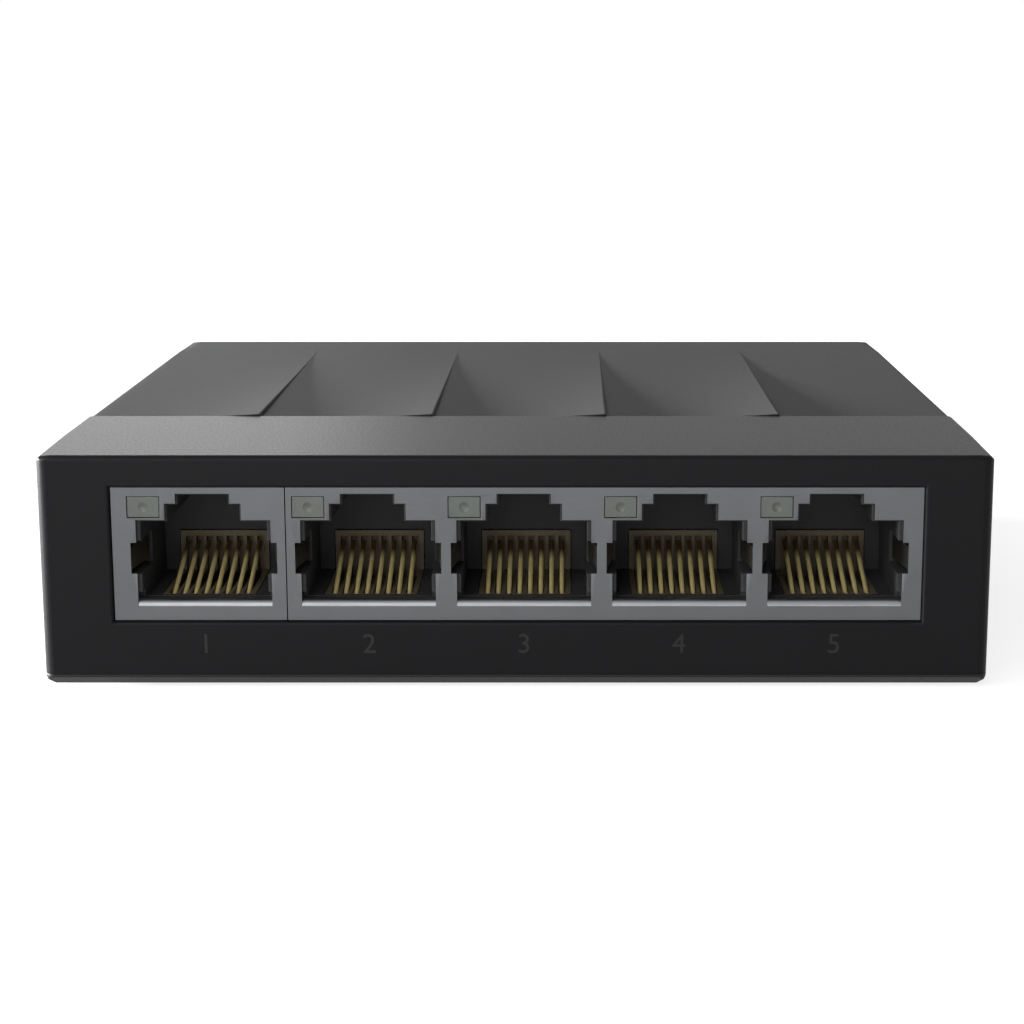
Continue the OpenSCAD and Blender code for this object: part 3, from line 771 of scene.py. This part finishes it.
def base_holes():
    """Places across the bottom cover of its vents, keyholes, foot recesses, screw holes and board pins."""
    vents, vent_pitch = 9, 3.6 * MM
    holes = [(k - (vents - 1) / 2) * vent_pitch for k in range(vents)]
    foot_low, foot_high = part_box("foot_front_right")
    keyhole_x, screw_x, pin_x = 28 * MM, 38.5 * MM, 40.4 * MM
    for x in (keyhole_x, (foot_low.x + foot_high.x) / 2, screw_x, pin_x):
        holes += [-x, x]
    return holes


def base_tray(case):
    """Bottom cover with rounded edges where they show: round its foot and round its holes from below."""
    low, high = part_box("bottom_cover")
    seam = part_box("top_cover")[0].z

    def on_foot(point):
        out = min(high.x - abs(point.x), high.y - abs(point.y)) < case.corner_radius
        return point.z < low.z + MERGE or (out and point.z < seam)

    tray = node_copy("bottom_cover", "cover_bottom", True, base_holes())
    bevel_some(tray, lambda a, b: on_foot(a) and on_foot(b), case.base_radius, angle=30, clamp=True)
    smooth(tray)
    return tray


class SWITCH_OT_bottom_cover(bpy.types.Operator):
    """Models the bottom cover with rounded edges, the rubber feet and the case screws"""

    bl_idname = "switch.bottom_cover"
    bl_label = "Bottom cover, feet and screws"

    def execute(self, context):
        foot_edge, screw_edge, round_steps = 0.25 * MM, 0.18 * MM, 3
        case = context.scene.switch_case
        finish = moulded_plastic(
            "abs_base_spark", case.plastic, roughness=0.45, grit=0.22, relief=0.004, specular=0.18
        )
        tray = base_tray(case)
        finish_piece(tray, CASE_BODY, "case_plastic", [finish], "bottom_cover")
        rubber = soft_rubber("rubber_feet", case.rubber)
        for place in FEET:
            foot = softened(f"foot_{place}", f"rubber_foot_{place}", foot_edge, round_steps, merge_flats=True)
            finish_piece(foot, CASE_BODY, "foot_rubber", [rubber], f"foot_{place}")
        zinc = bare_metal("zinc_plated_screws", srgb("#a9abad"), roughness=0.32, grit=0.4)
        screws = softened("case_screws", "cross_head_screws", screw_edge, round_steps, merge_flats=True)
        finish_piece(screws, CASE_BODY, "screw_steel", [zinc], "case_screws")
        return {"FINISHED"}


class SWITCH_OT_jacks(bpy.types.Operator):
    """Models the jack shields, the plastic housings and the contact combs"""

    bl_idname = "switch.jacks"
    bl_label = "Jacks"

    def execute(self, context):
        facing_up = 0.1
        jacks = context.scene.switch_jacks
        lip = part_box("circuit_board")[1].z + jacks.lip_level
        tin = plated_sheet("tin_plated_sheet", jacks.shield)
        bend = plated_sheet("tin_plated_bend_painted_highlight", jacks.bend)
        for kind in ("single", "gang"):
            shield = softened(f"{kind}_jack_shield", f"shield_{kind}", jacks.sheet_edge)
            finish_piece(shield, CASE_BODY, "shield_steel", [tin, bend], f"{kind}_jack_shield")
            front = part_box(f"{kind}_jack_shield")[0].y
            # The upward faces of each lip's bend get the lighter bend colour: a painted highlight, with some
            # real burnish
            for face in shield.data.polygons:
                lip_painted_highlight = abs(face.center.z - lip) < jacks.lip_radius and face.normal.z > facing_up
                face.material_index = 1 if lip_painted_highlight and face.center.y < front + 2 * jacks.lip_radius else 0
        charcoal = moulded_plastic(
            "pbt_jack_mouldings", jacks.plastic, roughness=0.5, grit=0.2, relief=0.004, specular=0.05
        )
        brown = moulded_plastic(
            "pbt_contact_combs", jacks.comb, roughness=0.5, grit=0.2, relief=0.004, specular=0.1
        )
        for n in PORTS:
            housing = softened(f"jack_housing_{n}", f"housing_{n}", jacks.plastic_edge)
            finish_piece(housing, CASE_BODY, "jack_plastic", [charcoal], f"jack_housing_{n}")
            comb = softened(f"contact_comb_{n}", f"comb_{n}", jacks.comb_edge)
            finish_piece(comb, CASE_BODY, "jack_plastic", [brown], f"contact_comb_{n}")
        return {"FINISHED"}


def bend_place(n):
    """Where the wires of a port hinge."""
    return Vector(next(j["pos_m"] for j in frame["joints"] if j["name"] == f"port_{n}_contact_bend"))


def contact_wire(jacks):
    """One wire at the middle of port 1: up out of its slot, over its bend and back along its slope."""
    sides, bend_steps, tip_steps = 16, 8, 3
    foot, tip_radius = 0.3 * MM, jacks.wire_diameter / 3
    place = bend_place(1)
    along = Vector((0, math.cos(jacks.wire_slope), math.sin(jacks.wire_slope)))
    centre = place - jacks.wire_bend * Vector((0, -along.z, along.y))
    deselect()
    bpy.ops.mesh.primitive_circle_add(
        vertices=sides, radius=jacks.wire_diameter / 2, fill_type="NGON",
        location=(place.x, centre.y - jacks.wire_bend, centre.z - foot),
    )
    wire = apply_place(bpy.context.object)
    edit(wire, "FACE")
    bpy.ops.mesh.select_all(action="SELECT")
    bpy.ops.mesh.extrude_region_move(TRANSFORM_OT_translate={"value": (0, 0, foot)})
    bpy.ops.mesh.spin(steps=bend_steps, angle=math.pi / 2 - jacks.wire_slope, center=centre, axis=(1, 0, 0))
    bpy.ops.mesh.extrude_region_move(TRANSFORM_OT_translate={"value": along * jacks.wire_run})
    bpy.ops.mesh.bevel(offset=tip_radius, segments=tip_steps)
    bpy.ops.mesh.select_all(action="SELECT")
    bpy.ops.mesh.remove_doubles(threshold=MERGE)
    bpy.ops.mesh.normals_make_consistent(inside=False)
    leave_edit()
    smooth(wire)
    return wire


class SWITCH_OT_contacts(bpy.types.Operator):
    """Models the contact wires, eight to a port, and finishes their leads"""

    bl_idname = "switch.contacts"
    bl_label = "Contacts"

    def execute(self, context):
        jacks = context.scene.switch_jacks
        gilt = gilt_wire("gilt_contact_wire", jacks.gilt, jacks.bronze, bend_place(1).y + jacks.wire_plating)
        wire = contact_wire(jacks)
        for n in PORTS:
            row = []
            for k in range(jacks.wires):
                across = (k - (jacks.wires - 1) / 2) * jacks.wire_pitch
                offset = bend_place(n) - bend_place(1) + Vector((across, 0, 0))
                row.append(copy_moved(wire, "contact_wire", offset))
            piece = join(row, f"contact_wires_{n}")
            finish_piece(piece, f"port_{n}_contacts", "contact_gilt", [gilt], f"contact_springs_{n}")
            dress_node(f"contact_leads_{n}", gilt)
        bpy.data.objects.remove(wire)
        return {"FINISHED"}


def indicator_lens(jacks):
    """Lens of port 1: a flush window with a shallow round dish over the indicator's die."""
    edge, ball_sides, ball_rings = 0.06 * MM, 64, 32
    low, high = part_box("port_led_1")
    fill = Vector((jacks.lens_fill, 0, jacks.lens_fill))
    lens = add_box("indicator_lens", low - fill, high + fill)
    bevel(lens, edge)
    middle = (low + high) / 2
    ball = (jacks.dish_radius ** 2 + jacks.dish_depth ** 2) / (2 * jacks.dish_depth)
    deselect()
    bpy.ops.mesh.primitive_uv_sphere_add(
        segments=ball_sides, ring_count=ball_rings, radius=ball,
        location=(middle.x, low.y + jacks.dish_depth - ball, middle.z),
    )
    cut(lens, apply_place(bpy.context.object))
    smooth(lens)
    return lens


class SWITCH_OT_indicators(bpy.types.Operator):
    """Models the indicator lenses beside the ports"""

    bl_idname = "switch.indicators"
    bl_label = "Indicators"

    def execute(self, context):
        flat_on = 0.9999
        jacks = context.scene.switch_jacks
        milky = milky_lens("polycarbonate_lens", jacks.lens)
        die = milky_lens("polycarbonate_over_die", jacks.die)
        first_low, first_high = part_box("port_led_1")
        middle = (first_low + first_high) / 2
        lens = indicator_lens(jacks)
        for n in PORTS:
            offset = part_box(f"port_led_{n}")[0] - first_low
            piece = copy_moved(lens, f"indicator_{n}", offset)
            finish_piece(piece, CASE_BODY, "led_lens", [milky, die], f"port_led_{n}")
            for face in piece.data.polygons:
                at = face.center - offset - middle
                in_dish = math.hypot(at.x, at.z) < jacks.dish_radius and abs(face.normal.y) < flat_on
                face.material_index = 1 if in_dish and at.y < 0 else 0
        bpy.data.objects.remove(lens)
        return {"FINISHED"}


def port_number(n, jacks, front_y):
    """Printed number under a port, a hair proud of the front wall."""
    # A figure takes this share of its font's size
    figure_share = 0.7
    ink_depth = 0.01 * MM
    deselect()
    bpy.ops.object.text_add()
    mark = bpy.context.object
    mark.name = f"number_{n}"
    mark.data.body = str(n)
    mark.data.size = jacks.number_height / figure_share
    mark.data.align_x = "CENTER"
    mark.data.align_y = "CENTER"
    mark.data.extrude = ink_depth
    bpy.ops.object.convert(target="MESH")
    mark = bpy.context.object
    mark.rotation_euler = (math.pi / 2, 0, 0)
    mark.location = (bend_place(n).x, front_y, jacks.number_level)
    return apply_place(mark)


class SWITCH_OT_numbers(bpy.types.Operator):
    """Prints the port numbers on the front wall"""

    bl_idname = "switch.numbers"
    bl_label = "Port numbers"

    def execute(self, context):
        ink = printed_ink("pad_printed_ink", context.scene.switch_case.ink)
        front_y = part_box("top_cover")[0].y
        for n in PORTS:
            mark = port_number(n, context.scene.switch_jacks, front_y)
            mark.data.materials.clear()
            mark.data.materials.append(ink)
            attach(mark, CASE_BODY)
        return {"FINISHED"}


def inlet_moulding(jacks):
    """Block with a round barrel behind a chamfered mouth, and a slot under it for the sprung contact."""
    edge, mouth, room = 0.3 * MM, 0.35 * MM, 0.4 * MM
    edge_steps, barrel_sides, near = 3, 64, 0.01 * MM
    low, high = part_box("inlet_body")
    pin_low, pin_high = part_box("inlet_pin")
    spring_low, spring_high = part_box("inlet_spring")
    middle = (pin_low + pin_high) / 2
    block = add_box("inlet_moulding", low, high)
    bevel(block, edge, edge_steps)
    deselect()
    bpy.ops.mesh.primitive_cylinder_add(
        vertices=barrel_sides, radius=jacks.barrel_radius, depth=2 * jacks.barrel_depth,
        location=(middle.x, high.y, middle.z), rotation=(math.pi / 2, 0, 0),
    )
    cut(block, apply_place(bpy.context.object))
    grow = Vector((room, room, room))
    cut(block, add_box("spring_slot", spring_low - grow, (*(spring_high + grow).xy, middle.z)))

    def on_mouth(point):
        ring = math.hypot(point.x - middle.x, point.z - middle.z)
        return abs(point.y - high.y) < MERGE and abs(ring - jacks.barrel_radius) < near

    bevel_some(block, lambda a, b: on_mouth(a) and on_mouth(b), mouth)
    smooth(block)
    return block


class SWITCH_OT_inlet(bpy.types.Operator):
    """Models the power inlet"""

    bl_idname = "switch.inlet"
    bl_label = "Power inlet"

    def execute(self, context):
        jacks = context.scene.switch_jacks
        black = moulded_plastic(
            "pbt_inlet_moulding", srgb("#232324"), roughness=0.45, grit=0.2, relief=0.004, specular=0.4
        )
        nickel = bare_metal("nickel_plated_brass", srgb("#a3a19a"), roughness=0.32, grit=0.5)
        finish_piece(inlet_moulding(jacks), CASE_BODY, "jack_plastic", [black], "inlet_body")
        for node in ("inlet_pin", "inlet_terminals", "inlet_spring"):
            dress_node(node, nickel)
        return {"FINISHED"}


class SWITCH_OT_board(bpy.types.Operator):
    """Finishes the circuit board and the parts on it"""

    bl_idname = "switch.board"
    bl_label = "Circuit board"

    def execute(self, context):
        mask = solder_mask("green_solder_mask", srgb("#15502c"))
        epoxy = dull_solid("moulded_epoxy", srgb("#1c1c1d"), roughness=0.55, grit=0.3)
        tin = bare_metal("tinned_leads", srgb("#c8c9ca"), roughness=0.35, grit=0.3)
        aluminium = bare_metal("drawn_aluminium", srgb("#c2c4c6"), roughness=0.35, grit=0.6)
        ferrite = dull_solid("sintered_ferrite", srgb("#3a3a3b"), roughness=0.7, grit=0.25)
        ceramic = dull_solid("fired_ceramic", srgb("#a98a62"), roughness=0.5, grit=0.2)
        silicone = dull_solid("silicone_pad", srgb("#9aa3ad"), roughness=0.8, grit=0.4)
        finishes = {
            "circuit_board": mask, "switch_chip": epoxy, "memory_chip": epoxy, "regulator_chip": epoxy,
            "input_diode": epoxy, "chip_resistors": epoxy, "switch_chip_leads": tin, "crystal_can": tin,
            "heat_sink": aluminium, "bulk_capacitor_1": aluminium, "bulk_capacitor_2": aluminium,
            "power_inductor": ferrite, "chip_capacitors": ceramic, "thermal_pad": silicone,
        }
        finishes.update({f"line_transformer_{n}": epoxy for n in PORTS})
        for node, material in finishes.items():
            dress_node(node, material)
        return {"FINISHED"}


def seen_rays(tree):
    """1 for what the eye, a reflection or a clear piece sees, 0 for the light on surfaces."""
    path = add_node(tree, "ShaderNodeLightPath")
    seen = path.outputs["Is Camera Ray"]
    for kind in ("Is Glossy Ray", "Is Transmission Ray"):
        seen = add_node(
            tree, "ShaderNodeMath", {0: seen, 1: path.outputs[kind]}, operation="MAXIMUM"
        ).outputs["Value"]
    return seen


def studio_world():
    """White surroundings to the eye, and an even soft light on every surface."""
    white, white_strength, soft_strength = (1, 1, 1, 1), 1.0, 0.1
    world = bpy.data.worlds.new("studio")
    bpy.context.scene.world = world
    world.use_nodes = True
    tree = world.node_tree
    tree.nodes.clear()
    soft, plain = [
        add_node(tree, "ShaderNodeBackground", {"Color": white, "Strength": strength}).outputs["Background"]
        for strength in (soft_strength, white_strength)
    ]
    mix = add_node(tree, "ShaderNodeMixShader", {0: seen_rays(tree), 1: soft, 2: plain}).outputs["Shader"]
    add_node(tree, "ShaderNodeOutputWorld", {"Surface": mix})


def pale_floor(stage):
    """Plain pale floor that shows white, with a faint shadow near the object."""
    floor_size, shadow_tone = 6, 0.7
    # Distances from the object between which the shadow fades out
    near, far = 0.1, 0.4
    deselect()
    bpy.ops.mesh.primitive_plane_add(size=floor_size)
    floor = bpy.context.object
    floor.name = "floor"
    material, tree, shader, place = new_material(
        "pale_floor", Roughness=0.9, Base_Color=stage.floor, Specular_IOR_Level=0
    )
    away = add_node(tree, "ShaderNodeVectorMath", {0: place}, operation="LENGTH").outputs["Value"]
    strength = add_node(tree, "ShaderNodeMapRange", {
        "Value": away, "From Min": near, "From Max": far, "To Min": stage.floor_glow, "To Max": 1.0,
    }).outputs["Result"]
    glow = add_node(tree, "ShaderNodeEmission", {"Strength": strength}).outputs["Emission"]
    dimmed = shade(stage.floor, shadow_tone)
    shadow = add_node(tree, "ShaderNodeBsdfDiffuse", {"Color": dimmed}).outputs["BSDF"]
    shown = add_node(tree, "ShaderNodeAddShader", {0: glow, 1: shadow}).outputs["Shader"]
    mix = add_node(
        tree, "ShaderNodeMixShader", {0: seen_rays(tree), 1: shader.outputs["BSDF"], 2: shown}
    ).outputs["Shader"]
    tree.links.new(mix, tree.nodes["Material Output"].inputs["Surface"])
    floor.data.materials.append(material)


def add_light(name, place, aim, width, height, power):
    """Soft box at a place, turned towards a point."""
    deselect()
    bpy.ops.object.light_add(type="AREA", location=place)
    lamp = bpy.context.object
    lamp.name = name
    lamp.data.shape = "RECTANGLE"
    lamp.data.size, lamp.data.size_y = width, height
    lamp.data.energy = power
    lamp.visible_camera = False
    lamp.rotation_mode = "QUATERNION"
    lamp.rotation_quaternion = (Vector(aim) - Vector(place)).to_track_quat("-Z", "Y")


class SWITCH_OT_stage(bpy.types.Operator):
    """Sets the floor, the lights and the camera"""

    bl_idname = "switch.stage"
    bl_label = "Stage"

    def execute(self, context):
        stage = context.scene.switch_stage
        pale_floor(stage)
        studio_world()
        top, front = (0, 0, 0.02), (0, -0.03, 0.012)
        add_light("key_softbox", (-0.33, 0.82, 0.25), aim=top, width=0.45, height=0.45, power=1.5)
        add_light("side_softbox", (-0.7, 0.1, 0.05), aim=top, width=0.5, height=0.03, power=35.0)
        add_light("front_softbox", (-0.15, -0.32, 0.17), aim=front, width=0.4, height=0.3, power=0.55)
        add_light("top_softbox", (-0.3, -0.5, 0.38), aim=front, width=0.6, height=0.3, power=1.0)
        add_light("low_softbox", (0.0, -0.4, 0.02), aim=front, width=0.4, height=0.03, power=0.2)
        deselect()
        bpy.ops.object.camera_add(
            location=stage.camera_place, rotation=(math.pi / 2 - stage.camera_pitch, 0, 0)
        )
        camera = context.object
        camera.data.sensor_width = 36
        camera.data.lens = stage.lens
        camera.data.shift_x, camera.data.shift_y = stage.shift
        camera.data.clip_start, camera.data.clip_end = 0.01, 20
        context.scene.camera = camera
        context.scene.view_settings.view_transform = "Standard"
        return {"FINISHED"}


OPERATORS = (
    SWITCH_OT_stage, SWITCH_OT_top_cover, SWITCH_OT_bottom_cover, SWITCH_OT_jacks, SWITCH_OT_contacts,
    SWITCH_OT_indicators, SWITCH_OT_numbers, SWITCH_OT_inlet, SWITCH_OT_board,
)


class SWITCH_PT_panel(bpy.types.Panel):
    """Lists the steps that build the switch"""

    bl_idname = "SWITCH_PT_panel"
    bl_label = "Network switch"
    bl_space_type = "VIEW_3D"
    bl_region_type = "UI"
    bl_category = "Switch"

    def draw(self, context):
        for operator in OPERATORS:
            self.layout.operator(operator.bl_idname)


GROUPS = {"switch_case": SwitchCase, "switch_jacks": SwitchJacks, "switch_stage": SwitchStage}


def register():
    for group in GROUPS.values():
        bpy.utils.register_class(group)
    for name, group in GROUPS.items():
        setattr(bpy.types.Scene, name, bpy.props.PointerProperty(type=group))
    for kind in (*OPERATORS, SWITCH_PT_panel):
        bpy.utils.register_class(kind)


def unregister():
    for kind in (SWITCH_PT_panel, *reversed(OPERATORS)):
        bpy.utils.unregister_class(kind)
    for name, group in GROUPS.items():
        delattr(bpy.types.Scene, name)
        bpy.utils.unregister_class(group)


def main():
    register()
    for operator in OPERATORS:
        group, name = operator.bl_idname.split(".")
        getattr(getattr(bpy.ops, group), name)()


if __name__ == "__main__":
    main()
